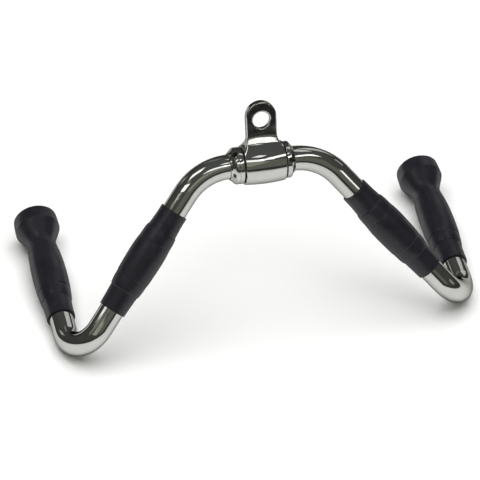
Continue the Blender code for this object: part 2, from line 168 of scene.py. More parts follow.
# (depth below the top, distance in from the side) round the rim
SCREW_RIM = ((0.45 * MM, 0.0), (0.2 * MM, 0.10 * MM), (0.05 * MM, 0.28 * MM), (0.0, 0.5 * MM))
SOCKET_HALF_WIDTH = 1.5 * MM
SOCKET_LEAD_IN_WIDTH = 0.12 * MM
SOCKET_LEAD_IN_DEPTH = 0.15 * MM
SOCKET_DEPTH = 1.8 * MM
CONE_DEPTH = 2.3 * MM
SCREW_HOLE_CLEARANCE = 0.15 * MM
SCREW_HOLE_START = -2.0 * MM
SCREW_HOLE_END = 9.0 * MM
SCREW_SIDES = 48

# Grips
GRIP_START = {
    "inner_left": 20.3 * MM, "inner_right": 23.4 * MM,
    "outer_left": 20.8 * MM, "outer_right": 20.7 * MM,
}
INNER_LENGTH = 117.4 * MM
OUTER_LENGTH = 144.0 * MM
GRIP_CLEARANCE = 0.06 * MM
RUN_END_ROUND = 0.45 * MM
CREASE_ROUND = 0.3 * MM
KNOB_RIM_ROUND = 1.9 * MM
# Outlines in millimetres from the end toward the hub or the hairpin bend: (along, radius).
# A single point between two runs is a crease. The outer grip ends in the rim of its knob.
GRIP_RUNS = {
    "inner": [
        [(0.0, 14.5), (12.0, 14.75), (23.0, 15.5)],
        [(23.9, 16.35), (29.0, 17.0), (36.7, 17.25)],
        [(37.5, 17.08)],
        [(38.3, 17.36), (44.0, 17.95), (52.0, 18.25), (64.0, 18.1), (74.0, 17.8), (79.2, 17.4)],
        [(80.0, 17.08)],
        [(80.8, 17.1), (88.0, 16.75), (93.5, 16.0)],
        [(94.4, 15.2), (104.0, 14.65), (117.4, 14.2)],
    ],
    "outer": [
        [(0.0, 14.7), (12.0, 14.75), (22.6, 15.2)],
        [(23.4, 15.95), (29.0, 16.75), (35.4, 17.15)],
        [(36.1, 16.8)],
        [(36.9, 17.45), (42.0, 17.85), (54.0, 18.2), (70.0, 18.15), (80.0, 17.7), (90.4, 16.85)],
        [(91.2, 16.3)],
        [(92.0, 16.5), (97.0, 15.85), (102.0, 15.2), (106.6, 15.45), (112.0, 17.0),
         (117.0, 19.2), (122.0, 21.45), (126.2, 23.25)],
        [(127.0, 23.4), (132.0, 23.3), (138.0, 23.05), (142.0, 22.7)],
        [(144.0, 20.8)],
    ],
}
# in millimetres, as the outlines are
KNOB_RIM_START = 140.0
RUN_SPACING = 1.6

# Turned pieces
GRIP_SIDES = 96
TURNED_SIDES = 128
ROUND_STEPS = 6
# a corner's curve takes at most this share of each side
LARGEST_ROUND_SHARE = 0.48
# a profile's point with a smaller radius lies on the axis
ON_AXIS = 1e-7
# edges that turn by more than these angles stay sharp
GRIP_SHARP = math.radians(40.0)
COLLAR_SHARP = math.radians(38.0)
SMALL_PART_SHARP = math.radians(35.0)

# Directions in the bar's own frame, and the places of that frame and the hub's
SIDES = {"left": -1, "right": 1}
X = Vector((1.0, 0.0, 0.0))
ARM = Vector((math.cos(SHOULDER_TURN), -math.sin(SHOULDER_TURN), 0.0))
HANDLE = Vector((0.0, math.cos(ARMS_TO_HANDLES), -math.sin(ARMS_TO_HANDLES)))
HUB_POINT = Vector((0.0, HUB_Y, HUB_Z))
BAR_FRAME = (Matrix.Translation(HUB_POINT)
             @ Matrix.Rotation(ARMS_TO_HANDLES + HANDLE_RISE, 4, "X"))
HUB_FRAME = (Matrix.Translation(HUB_POINT + HUB_X * X)
             @ Matrix.Rotation(math.pi / 2.0 - EYE_LEAN, 4, "X"))

# Colours of the materials
CHROME_DARK = (0.475, 0.48, 0.465)
CHROME_LIGHT = (0.535, 0.54, 0.525)
CHROME_RIM = (0.26, 0.26, 0.24, 1.0)
RUBBER_DARK = (0.0078, 0.0070, 0.0110)
RUBBER_LIGHT = (0.0148, 0.0135, 0.0192)
SCREW_DARK = (0.03, 0.03, 0.032)
SCREW_LIGHT = (0.09, 0.09, 0.09)
BUSH_DARK = (0.010, 0.010, 0.010)
BUSH_LIGHT = (0.020, 0.020, 0.020)

# A noise texture keeps mostly between these values
NOISE_LOW = 0.3
NOISE_HIGH = 0.7

# Floor, in metres
FLOOR_RADIUS = 9.0
FLOOR_RINGS = (0.3, 0.8, 1.6, 3.0, 5.0, FLOOR_RADIUS)
FLOOR_SIDES = 96
# distance from the middle in metres, paleness
FLOOR_FADE = ((1.0, 0.93), (1.9, 0.66), (3.4, 0.22), (7.0, 0.08))

# height of the direction looked in, colour of the studio there
SKY_FADE = (
    (0.04, (0.052, 0.053, 0.052)),
    (0.22, (0.078, 0.079, 0.072)),
    (0.55, (0.078, 0.079, 0.070)),
    (0.80, (0.100, 0.102, 0.096)),
    (0.97, (0.118, 0.122, 0.117)),
)

# Lamps and dim panels that the chrome reflects, in metres from the hub
LAMP_DISTANCE = 2.8
NEUTRAL = (1.0, 1.0, 0.97)
OLIVE = (1.0, 1.0, 0.80)
COOL = (0.86, 0.94, 1.0)
# name, azimuth, elevation, width and height in degrees, roll in degrees, radiance, colour
LAMPS = (
    ("lamp_left_back", -110.0, 61.5, 17.0, 19.0, 6.0, 2.1, NEUTRAL),
    ("lamp_left", -64.7, 49.0, 25.0, 8.5, 9.0, 2.4, NEUTRAL),
    ("lamp_left_edge", -97.0, 31.5, 22.0, 3.2, 28.0, 1.9, NEUTRAL),
    ("lamp_front", 3.0, 55.5, 20.0, 8.5, -34.0, 1.8, NEUTRAL),
    ("lamp_front_corner", 20.0, 52.6, 11.0, 8.0, 0.0, 1.8, NEUTRAL),
    ("lamp_right", 45.0, 56.0, 23.0, 8.0, 4.0, 2.1, NEUTRAL),
    ("lamp_right_top", 27.0, 73.0, 9.0, 7.0, 28.0, 1.5, NEUTRAL),
    ("lamp_right_edge", 45.5, 28.5, 15.0, 4.2, 8.0, 1.7, NEUTRAL),
    ("lamp_back_right", 136.0, 62.0, 22.0, 16.0, -6.0, 0.9, NEUTRAL),
    ("panel_back_right", 141.0, 29.0, 18.0, 34.0, -14.0, 0.75, NEUTRAL),
    ("panel_back_left", -174.0, 36.0, 12.0, 30.0, 20.0, 0.16, COOL),
    ("panel_right", 106.0, 26.0, 14.0, 9.0, -36.0, 0.42, COOL),
    ("panel_left_back", -138.5, 20.5, 9.0, 9.0, 0.0, 0.55, NEUTRAL),
    ("panel_left", -75.0, 40.0, 18.0, 36.0, -14.0, 0.20, OLIVE),
    ("panel_left_front", -37.0, 27.0, 32.0, 18.0, -18.0, 0.38, OLIVE),
    ("panel_front", 8.0, 27.0, 46.0, 34.0, 0.0, 0.10, OLIVE),
    ("panel_front_high", 1.0, 40.0, 20.0, 20.0, -45.0, 0.20, OLIVE),
    ("panel_right_low", 68.0, 15.0, 18.0, 12.0, 0.0, 0.32, NEUTRAL),
)
SOFT_TOP_HEIGHT = 2.6
SOFT_TOP_SIZE = 3.0
SOFT_TOP_RADIANCE = 2.9


# Nodes of the materials

def new_material(name):
    """A material with its node tree, its shader and the coordinates of its object."""
    mat = bpy.data.materials.new(name)
    mat.use_nodes = True
    tree = mat.node_tree
    return mat, tree, tree.nodes["Principled BSDF"], tree.nodes.new("ShaderNodeTexCoord")


def fill(node, **sockets):
    """Set a node's sockets, their names written with _ for each space."""
    for key, value in sockets.items():
        node.inputs[key.replace("_", " ")].default_value = value


def add(tree, kind, **sockets):
    """A new node with its sockets set."""
    made = tree.nodes.new(kind)
    fill(made, **sockets)
    return made


def noise(tree, coords, scale, detail=3.0, roughness=0.5):
    """Noise fixed to the object, finer at a larger scale."""
    made = add(tree, "ShaderNodeTexNoise", Scale=scale, Detail=detail, Roughness=roughness)
    tree.links.new(coords.outputs["Object"], made.inputs["Vector"])
    return made.outputs["Fac"]


def spread(tree, value, low, high):
    """A noise stretched to run from low to high."""
    made = add(tree, "ShaderNodeMapRange", From_Min=NOISE_LOW, From_Max=NOISE_HIGH,
               To_Min=low, To_Max=high)
    tree.links.new(value, made.inputs["Value"])
    return made.outputs["Result"]


def tint(tree, value, dark, light):
    """A colour between dark and light."""
    made = tree.nodes.new("ShaderNodeMix")
    made.data_type = "RGBA"
    fill(made, A=(*dark, 1.0), B=(*light, 1.0))
    tree.links.new(value, made.inputs["Factor"])
    return made.outputs["Result"]


def bump(tree, value, strength, distance, under=None):
    """A bumped normal, on top of the one under it."""
    made = add(tree, "ShaderNodeBump", Strength=strength, Distance=distance)
    tree.links.new(value, made.inputs["Height"])
    if under is not None:
        tree.links.new(under, made.inputs["Normal"])
    return made.outputs["Normal"]


def chrome(name, wave_scale, wave_height, turned=False):
    """Chrome plate with faint smudges, shallow waves and, on turned work, fine tool lines."""
    mat, tree, shader, coords = new_material(name)
    fill(shader, Metallic=1.0, Specular_Tint=CHROME_RIM)
    smudge = noise(tree, coords, scale=45.0, detail=5.0, roughness=0.62)
    smudge = spread(tree, smudge, low=0.0, high=1.0)
    tree.links.new(tint(tree, smudge, CHROME_DARK, CHROME_LIGHT), shader.inputs["Base Color"])
    haze = noise(tree, coords, scale=160.0, detail=6.0, roughness=0.6)
    tree.links.new(spread(tree, haze, low=0.035, high=0.085), shader.inputs["Roughness"])
    waves = noise(tree, coords, scale=wave_scale, detail=1.0)
    normal = bump(tree, waves, strength=1.0, distance=wave_height)
    if turned:
        lines = add(tree, "ShaderNodeTexWave", Scale=900.0, Distortion=0.4, Detail=1.0)
        lines.bands_direction = "X"
        tree.links.new(coords.outputs["Object"], lines.inputs["Vector"])
        normal = bump(tree, lines.outputs["Fac"], strength=0.04, distance=0.02 * MM, under=normal)
    polish = noise(tree, coords, scale=2600.0, detail=2.0)
    normal = bump(tree, polish, strength=0.05, distance=0.04 * MM, under=normal)
    tree.links.new(normal, shader.inputs["Normal"])
    return mat


def rubber(name):
    """Near-black rubber with a soft sheen, duller where it is seen edge on."""
    mat, tree, shader, coords = new_material(name)
    fill(shader, Specular_IOR_Level=0.34)
    mottle = noise(tree, coords, scale=90.0, detail=5.0, roughness=0.6)
    mottle = spread(tree, mottle, low=0.0, high=1.0)
    tree.links.new(tint(tree, mottle, RUBBER_DARK, RUBBER_LIGHT), shader.inputs["Base Color"])
    edge_on = add(tree, "ShaderNodeLayerWeight", Blend=0.5)
    duller = add(tree, "ShaderNodeMapRange", From_Min=0.45, From_Max=1.0, To_Max=0.45)
    tree.links.new(edge_on.outputs["Facing"], duller.inputs["Value"])
    sheen = noise(tree, coords, scale=55.0, detail=4.0, roughness=0.6)
    total = tree.nodes.new("ShaderNodeMath")
    total.operation = "ADD"
    tree.links.new(spread(tree, sheen, low=0.29, high=0.41), total.inputs[0])
    tree.links.new(duller.outputs["Result"], total.inputs[1])
    tree.links.new(total.outputs[0], shader.inputs["Roughness"])
    swell = noise(tree, coords, scale=70.0, detail=2.0)
    normal = bump(tree, swell, strength=0.5, distance=0.4 * MM)
    grain = noise(tree, coords, scale=1500.0, detail=3.0, roughness=0.6)
    normal = bump(tree, grain, strength=0.30, distance=0.12 * MM, under=normal)
    tree.links.new(normal, shader.inputs["Normal"])
    return mat


def dark_steel(name):
    """Black oxide on steel."""
    mat, tree, shader, coords = new_material(name)
    fill(shader, Metallic=1.0)
    grain = noise(tree, coords, scale=900.0, detail=4.0)
    tree.links.new(tint(tree, grain, SCREW_DARK, SCREW_LIGHT), shader.inputs["Base Color"])
    haze = noise(tree, coords, scale=700.0, detail=3.0)
    tree.links.new(spread(tree, haze, low=0.26, high=0.42), shader.inputs["Roughness"])
    return mat


def bush_plastic(name):
    """Black moulded plastic."""
    mat, tree, shader, coords = new_material(name)
    grain = noise(tree, coords, scale=300.0, detail=4.0)
    tree.links.new(tint(tree, grain, BUSH_DARK, BUSH_LIGHT), shader.inputs["Base Color"])
    haze = noise(tree, coords, scale=400.0, detail=3.0)
    tree.links.new(spread(tree, haze, low=0.4, high=0.55), shader.inputs["Roughness"])
    return mat


CHROME_BAR = chrome("bar_chrome", wave_scale=26.0, wave_height=0.35 * MM)
CHROME_HUB = chrome("hub_chrome", wave_scale=60.0, wave_height=0.16 * MM)
CHROME_COLLAR = chrome("collar_chrome", wave_scale=70.0, wave_height=0.10 * MM, turned=True)
RUBBER = rubber("grip_rubber")
DARK_STEEL = dark_steel("screw_steel")
BUSH_PLASTIC = bush_plastic("bush_plastic")


# Objects and meshes

def linked(name, data):
    """A new object in the scene."""
    made = bpy.data.objects.new(name, data)
    bpy.context.scene.collection.objects.link(made)
    return made


def settle(name, mesh, body, node):
    """A finished piece that rides on a body and stands for a CAD node."""
    made = linked(name, mesh)
    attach(made, body)
    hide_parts(node)


def evaluated_mesh(obj, name):
    """The object's mesh with its modifiers applied."""
    bpy.context.view_layer.update()
    graph = bpy.context.evaluated_depsgraph_get()
    mesh = bpy.data.meshes.new_from_object(obj.evaluated_get(graph), depsgraph=graph)
    mesh.name = name
    return mesh


# The bent bar

def mirrored(vector, side):
    """The vector itself on the right side, its mirror image on the left."""
    return Vector((side * vector.x, vector.y, vector.z))


def arc(start, heading, end_heading, radius, steps):
    """(point, heading) along a bend from one heading to another."""
    turn = heading.angle(end_heading)
    inward = (end_heading - end_heading.dot(heading) * heading).normalized()
    stations = []
    for i in range(steps + 1):
        a = turn * i / steps
        point = start + radius * (math.sin(a) * heading + (1.0 - math.cos(a)) * inward)
        stations.append((point, math.cos(a) * heading + math.sin(a) * inward))
    return stations


def straight(start, heading, length):
    """(point, heading) inside a straight run, without its two ends."""
    return [(start + heading * length * i / STRAIGHT_STEPS, heading)
            for i in range(1, STRAIGHT_STEPS)]


def right_centre_line():
    """The bar's centre line from the shoulder to the handle's end, and two points on it."""
    shoulder = arc(MIDDLE_HALF * X, X, ARM, SHOULDER_RADIUS, SHOULDER_STEPS)
    shoulder_end = shoulder[-1][0]
    arm_end = shoulder_end + ARM_STRAIGHT * ARM
    hairpin = arc(arm_end, ARM, HANDLE, HAIRPIN_RADIUS, HAIRPIN_STEPS)
    handle_start = hairpin[-1][0]
    line = shoulder + straight(shoulder_end, ARM, ARM_STRAIGHT) + hairpin
    line += straight(handle_start, HANDLE, HANDLE_STRAIGHT)
    line.append((handle_start + HANDLE_STRAIGHT * HANDLE, HANDLE))
    return line, shoulder_end, handle_start


LINE, SHOULDER_END_POINT, HANDLE_START_POINT = right_centre_line()


def bent_bar():
    """A round tube of faces along the whole centre line, with exact normals."""
    left = [(mirrored(p, -1), mirrored(-h, -1)) for p, h in LINE]
    stations = list(reversed(left)) + LINE
    turn = BAR_FRAME.to_3x3()
    verts, normals, faces = [], [], []
    across = stations[0][1].orthogonal().normalized()
    for point, heading in stations:
        across = (across - across.dot(heading) * heading).normalized()
        other = heading.cross(across)
        for i in range(BAR_SIDES):
            a = math.tau * i / BAR_SIDES
            out = math.cos(a) * across + math.sin(a) * other
            verts.append(tuple(BAR_FRAME @ (point + BAR_RADIUS * out)))
            normals.append(tuple(turn @ out))
    last = (len(stations) - 1) * BAR_SIDES
    for near in range(0, last, BAR_SIDES):
        far = near + BAR_SIDES
        for i in range(BAR_SIDES):
            j = (i + 1) % BAR_SIDES
            faces.append((near + i, near + j, far + j, far + i))
    faces.append(tuple(reversed(range(BAR_SIDES))))
    faces.append(tuple(last + i for i in range(BAR_SIDES)))
    mesh = bpy.data.meshes.new("bar_steel")
    mesh.from_pydata(verts, [], faces)
    mesh.materials.append(CHROME_BAR)
    mesh.shade_smooth()
    mesh.normals_split_custom_set_from_vertices(normals)
    settle("bar_steel", mesh, "bar", "bent_bar")


# Turned pieces

def rounded(corners):
    """A polyline (along, radius, corner round) with its corners turned to quadratic curves."""
    points = []
    for i, (s, r, round_radius) in enumerate(corners):
        here = Vector((s, r))
        if round_radius <= 0.0 or i in (0, len(corners) - 1):
            points.append(here)
            continue
        before = Vector(corners[i - 1][:2]) - here
        after = Vector(corners[i + 1][:2]) - here
        reach = min(round_radius / math.tan(before.angle(after) / 2.0),
                    LARGEST_ROUND_SHARE * before.length, LARGEST_ROUND_SHARE * after.length)
        start = here + before.normalized() * reach
        end = here + after.normalized() * reach
        for k in range(ROUND_STEPS + 1):
            t = k / ROUND_STEPS
            points.append((1 - t) ** 2 * start + 2 * t * (1 - t) * here + t ** 2 * end)
    return points


def hexagon_share(a):
    """How far a hexagon reaches at an angle, as a share of its corners' radius."""
    sector = (a % (math.pi / 3.0)) - math.pi / 6.0
    return math.cos(math.pi / 6.0) / math.cos(sector)


def lathe(outline, placed, sides, hexagons=()):
    """A profile (along, radius) turned round local Z: vertices and faces, closed on itself
    or at the axis. The rings numbered in hexagons have six flats in place of a circle."""
    verts, faces, rings = [], [], []
    for number, (along, radius) in enumerate(outline):
        if radius < ON_AXIS:
            verts.append(tuple(placed @ Vector((0.0, 0.0, along))))
            rings.append([len(verts) - 1] * sides)
            continue
        ring = []
        for i in range(sides):
            a = math.tau * i / sides
            reach = radius * (hexagon_share(a) if number in hexagons else 1.0)
            point = Vector((reach * math.cos(a), reach * math.sin(a), along))
            ring.append(len(verts))
            verts.append(tuple(placed @ point))
        rings.append(ring)
    pairs = list(zip(rings, rings[1:]))
    if outline[0][1] > ON_AXIS:
        pairs.append((rings[-1], rings[0]))
    for near, far in pairs:
        for i in range(sides):
            j = (i + 1) % sides
            loop = tuple(dict.fromkeys((near[i], near[j], far[j], far[i])))
            if len(loop) > 2:
                faces.append(loop)
    return verts, faces


def lathe_mesh(name, outline, placed, sides, mat, sharp=None, hexagons=()):
    """A turned mesh with its faces pointing out."""
    verts, faces = lathe(outline, placed, sides, hexagons)
    mesh = bpy.data.meshes.new(name)
    mesh.from_pydata(verts, [], faces)
    bm = bmesh.new()
    bm.from_mesh(mesh)
    bmesh.ops.recalc_face_normals(bm, faces=bm.faces)
    bm.to_mesh(mesh)
    bm.free()
    mesh.materials.append(mat)
    mesh.shade_smooth()
    if sharp is not None:
        mesh.set_sharp_from_angle(angle=sharp)
    return mesh


def facing(origin, direction):
    """World placement with local Z along a direction of the bar's frame."""
    turn = (BAR_FRAME.to_3x3() @ direction).to_track_quat("Z", "Y").to_matrix().to_4x4()
    return Matrix.Translation(BAR_FRAME @ origin) @ turn


# Grips

def smooth_run(points):
    """Profile points every couple of millimetres on a smooth curve through the given ones."""
    s = [p[0] for p in points]
    r = [p[1] for p in points]
    slopes = []
    for i in range(len(points)):
        before = max(i - 1, 0)
        after = min(i + 1, len(points) - 1)
        slopes.append((r[after] - r[before]) / (s[after] - s[before]))
    run = []
    for i in range(len(points) - 1):
        width = s[i + 1] - s[i]
        steps = max(2, round(width / RUN_SPACING))
        for k in range(steps):
            t = k / steps
            near = (1 + 2 * t) * (1 - t) ** 2 * r[i] + t * (1 - t) ** 2 * width * slopes[i]
            far = t * t * (3 - 2 * t) * r[i + 1] + t * t * (t - 1) * width * slopes[i + 1]
            run.append((s[i] + t * width, near + far))
    return run + [points[-1]]


def grip_outer_profile(kind):
    """The outside of a grip, as (along, radius, corner round)."""
    corners = []
    for run in GRIP_RUNS[kind]:
        if len(run) == 1:
            along, radius = run[0]
            single_round = KNOB_RIM_ROUND if along > KNOB_RIM_START else CREASE_ROUND
            corners.append((along * MM, radius * MM, single_round))
            continue
        points = smooth_run(run)
        for i, (along, radius) in enumerate(points):
            end_round = RUN_END_ROUND if i in (0, len(points) - 1) else 0.0
            corners.append((along * MM, radius * MM, end_round))
    return corners


def grip(kind, side_name):
    """A rubber sleeve on an arm, or on a handle with its knob and a blind bore."""
    side = SIDES[side_name]
    node = kind + "_grip_" + side_name
    start = GRIP_START[kind + "_" + side_name]
    bore = BAR_RADIUS + GRIP_CLEARANCE
    corners = [(0.0, bore, 0.0)] + grip_outer_profile(kind)
    if kind == "inner":
        anchor, direction = SHOULDER_END_POINT, ARM
        corners += [(INNER_LENGTH, bore, 0.0)]
    else:
        anchor, direction = HANDLE_START_POINT, HANDLE
        bore_end = HANDLE_STRAIGHT - start + GAP
        corners = [(bore_end, 0.0, 0.0), (bore_end, bore, 0.0)] + corners
        corners += [(OUTER_LENGTH, 0.0, 0.0)]
    placed = facing(mirrored(anchor + start * direction, side), mirrored(direction, side))
    name = node + "_rubber"
    mesh = lathe_mesh(name, rounded(corners), placed, GRIP_SIDES, RUBBER, GRIP_SHARP)
    settle(name, mesh, "bar", node)


# Collars and their grub screws

def collar_outline(facts):
    """The collar's profile, from its face toward the hub to its nose."""
    bore = BAR_RADIUS + COLLAR_CLEARANCE
    length, land, groove = facts["length"], facts["land"], facts["groove"]
    corners = [(0.0, bore, 0.0), (0.0, COLLAR_RADIUS, FACE_ROUND)]
    if groove:
        corners += [
            (groove - GROOVE_HALF_WIDTH, COLLAR_RADIUS, GROOVE_EDGE),
            (groove, COLLAR_RADIUS - GROOVE_DEPTH, GROOVE_FLOOR),
            (groove + GROOVE_HALF_WIDTH, COLLAR_RADIUS, GROOVE_EDGE),
        ]
    corners.append((land, COLLAR_RADIUS, LAND_ROUND))
    for run, rise in TAPER_POINTS:
        radius = NOSE_RADIUS + (COLLAR_RADIUS - NOSE_RADIUS) * rise
        corners.append((land + (length - land) * run, radius, TAPER_ROUND))
    corners += [(length, NOSE_RADIUS, NOSE_ROUND), (length, bore, 0.0)]
    return rounded(corners)


def drilled(mesh, aimed, name):
    """The collar's mesh with the hole for its screw."""
    radius = SCREW_RADIUS + SCREW_HOLE_CLEARANCE
    corners = [(SCREW_HOLE_START, 0.0, 0.0), (SCREW_HOLE_START, radius, 0.0),
               (SCREW_HOLE_END, radius, 0.0), (SCREW_HOLE_END, 0.0, 0.0)]
    hole = lathe_mesh("cut", rounded(corners), aimed, SCREW_SIDES, CHROME_COLLAR)
    cutter = linked("cut_" + name, hole)
    blank = linked("blank_" + name, mesh)
    modifier = blank.modifiers.new("hole", "BOOLEAN")
    modifier.operation = "DIFFERENCE"
    modifier.solver = "EXACT"
    modifier.object = cutter
    cut = evaluated_mesh(blank, name)
    bpy.data.objects.remove(cutter)
    bpy.data.objects.remove(blank)
    cut.shade_smooth()
    cut.set_sharp_from_angle(angle=COLLAR_SHARP)
    return cut


def collar(side_name):
    """A shaft collar with its screw."""
    facts = COLLARS[side_name]
    side = SIDES[side_name]
    node = "collar_" + side_name
    name = node + "_steel"
    seam = HUB_X + side * (SLEEVE_HALF + FLANGE_THICKNESS + 2.0 * GAP)
    placed = facing(seam * X, side * X)
    mesh = lathe_mesh(name, collar_outline(facts), placed, TURNED_SIDES, CHROME_COLLAR)
    along = seam + side * (facts["length"] - facts["screw"])
    elevation = facts["elevation"]
    outward = Vector((0.0, -math.cos(elevation), math.sin(elevation)))
    turn = Matrix((X, outward.cross(X), outward)).transposed().to_4x4()
    foot = HUB_POINT + along * X + (BAR_RADIUS + GAP) * outward
    aimed = Matrix.Translation(foot) @ turn
    settle(name, drilled(mesh, aimed, name), "bar", node)
    grub_screw(side_name, aimed)


def grub_screw(side_name, aimed):
    """A headless screw with a rounded rim and a hexagon socket with a drill cone."""
    socket = SOCKET_HALF_WIDTH / math.cos(math.pi / 6.0)
    # (height, radius) from the middle of the foot over the rim to the tip of the cone
    outline = [
        (SCREW_FOOT, 0.0),
        (SCREW_FOOT, SCREW_RADIUS - FOOT_CHAMFER),
        (SCREW_FOOT + FOOT_CHAMFER, SCREW_RADIUS),
    ]
    outline += [(SCREW_TOP - depth, SCREW_RADIUS - inset) for depth, inset in SCREW_RIM]
    outline += [
        (SCREW_TOP, socket + SOCKET_LEAD_IN_WIDTH),
        (SCREW_TOP - SOCKET_LEAD_IN_DEPTH, socket),
        (SCREW_TOP - SOCKET_DEPTH, socket),
        (SCREW_TOP - CONE_DEPTH, 0.0),
    ]
    hexagons = [number for number, (_, radius) in enumerate(outline) if radius == socket]
    node = "set_screw_" + side_name
    name = node + "_steel"
    mesh = lathe_mesh(name, outline, aimed, SCREW_SIDES, DARK_STEEL, SMALL_PART_SHARP, hexagons)
    settle(name, mesh, "bar", node)


# Bushes

def bush(side_name):
    """A flanged plain bush, its flange outside the sleeve."""
    side = SIDES[side_name]
    bore = BAR_RADIUS + GAP
    outside = bore + BUSH_WALL
    corners = [
        (GAP - BUSH_LENGTH, bore, 0.0),
        (GAP - BUSH_LENGTH, outside, BUSH_ROUND),
        (GAP, outside, 0.0),
        (GAP, FLANGE_RADIUS, FLANGE_ROUND),
        (GAP + FLANGE_THICKNESS, FLANGE_RADIUS, FLANGE_ROUND),
        (GAP + FLANGE_THICKNESS, bore, 0.0),
    ]
    placed = (Matrix.Translation(HUB_POINT + (HUB_X + side * SLEEVE_HALF) * X)
              @ Matrix.Rotation(side * math.pi / 2.0, 4, "Y"))
    node = "bush_" + side_name
    name = node + "_plastic"
    mesh = lathe_mesh(name, rounded(corners), placed, TURNED_SIDES, BUSH_PLASTIC, SMALL_PART_SHARP)
    settle(name, mesh, "hub", node)


# The hub, a mesh drawn onto a distance field

def round_max(a, b, r):
    """What two solids share, its edge rounded with radius r."""
    a, b = a + r, b + r
    corner = np.sqrt(np.maximum(a, 0.0) ** 2 + np.maximum(b, 0.0) ** 2)
    return corner - r + np.minimum(np.maximum(a, b), 0.0)


def smooth_min(a, b, k):
    """Two solids joined, with a fillet about k wide between them."""
    h = np.maximum(k - np.abs(a - b), 0.0) / k
    return np.minimum(a, b) - h * h * h * k / 6.0


def eye_distance(x, h, t, ramp):
    """Distance to the eye's plate, which flares out and thickens into the ramp at its foot."""
    thick = smooth_min(np.abs(t) - EYE_HALF_THICKNESS, ramp, SADDLE_FOLD)
    rise = np.clip((h - EYE_FOOT) / (EYE_FLAT_END - EYE_FOOT), FLARE_LIMIT, 1.0)
    flare = EYE_FLARE * (1.0 - rise) ** 2
    flare_slope = 2.0 * EYE_FLARE * (1.0 - rise) / (EYE_FLAT_END - EYE_FOOT)
    centre = EYE_TOP - EYE_HALF_WIDTH
    side = (np.abs(x) - EYE_HALF_WIDTH - flare) / np.sqrt(1.0 + flare_slope ** 2)
    cap = np.hypot(x, h - centre) - EYE_HALF_WIDTH
    outline = np.where(h > centre, cap, side)
    hole = HOLE_RADIUS - np.hypot(x, h - HOLE_HEIGHT)
    hole_edge = np.where(t > 0.0, HOLE_FRONT_EDGE, HOLE_BACK_EDGE)
    return np.maximum(round_max(outline, thick, EYE_EDGE), round_max(hole, thick, hole_edge))


def hub_distance(p):
    """Distance to the casting at x along the sleeve, h up the eye and t to its front."""
    x, h, t = p[:, 0], p[:, 1], p[:, 2]
    radius = np.hypot(h, t)
    part = np.clip(x / SLEEVE_HALF, -CROWN_LIMIT, CROWN_LIMIT)
    crown = SLEEVE_END + (SLEEVE_CROWN - SLEEVE_END) * (1.0 - part ** 2)
    radial = radius - crown
    sleeve = round_max(radial, np.abs(x) - SLEEVE_HALF, SLEEVE_EDGE)

    out = np.abs(t)
    up_ramp = h * math.cos(RAMP_TURN) - out * math.sin(RAMP_TURN)
    off_ramp = out * math.cos(RAMP_TURN) + h * math.sin(RAMP_TURN) - crown
    off_saddle = out * math.cos(SADDLE_TURN) + h * math.sin(SADDLE_TURN) - crown + SADDLE_INSET
    ramp = np.where(up_ramp > 0.0, smooth_min(off_saddle, off_ramp, RAMP_FOLD), radial)
    eye = np.where(h > 0.0, eye_distance(x, h, t, ramp), sleeve + FOOT_BLEND)

    solid = smooth_min(sleeve, eye, np.clip(radial - ramp, LEAST_BLEND, FOOT_BLEND))
    solid = np.maximum(solid, np.abs(x) - SLEEVE_HALF)
    return round_max(solid, SLEEVE_BORE - radius, BORE_EDGE)


def hub_gradient(p):
    """Slope of the distance along the three axes."""
    slopes = [(hub_distance(p + d) - hub_distance(p - d)) / (2 * SLOPE_STEP)
              for d in np.eye(3) * SLOPE_STEP]
    return np.stack(slopes, axis=1)


def row_lengths(vectors):
    """The length of each row, never quite zero."""
    return np.maximum(np.linalg.norm(vectors, axis=1, keepdims=True), LEAST_LENGTH)


def unit_rows(vectors):
    """Each row at length one."""
    return vectors / row_lengths(vectors)


def projected(p, rounds):
    """Points moved onto the casting's surface."""
    for _ in range(rounds):
        g = hub_gradient(p)
        slope_squared = np.maximum((g ** 2).sum(1, keepdims=True), LEAST_SLOPE_SQUARED)
        step = hub_distance(p)[:, None] * g / slope_squared
        p = p - step * np.minimum(1.0, LONGEST_MOVE / row_lengths(step))
    return p


def smoothed(p, edges):
    """Points spaced evenly on the surface by drawing each toward its neighbours along it."""
    degree = np.bincount(edges.ravel(), minlength=len(p))[:, None]
    for _ in range(SMOOTHINGS):
        total = np.zeros_like(p)
        np.add.at(total, edges[:, 0], p[edges[:, 1]])
        np.add.at(total, edges[:, 1], p[edges[:, 0]])
        move = total / degree - p
        g = unit_rows(hub_gradient(p))
        move -= (move * g).sum(1, keepdims=True) * g
        p = projected(p + SMOOTHING_SHARE * move, ROUNDS_AFTER_SMOOTHING)
    return p


def hub_voxels():
    """The CAD casting in the hub's frame, remeshed to even voxels."""
    blank = linked("hub_blank", frame["nodes"]["hub_sleeve"].data.copy())
    blank.data.transform(HUB_FRAME.inverted())
    modifier = blank.modifiers.new("voxels", "REMESH")
    modifier.mode = "VOXEL"
    modifier.voxel_size = HUB_VOXEL
    modifier.adaptivity = 0.0
    mesh = evaluated_mesh(blank, "hub_casting")
    bpy.data.objects.remove(blank)
    return mesh


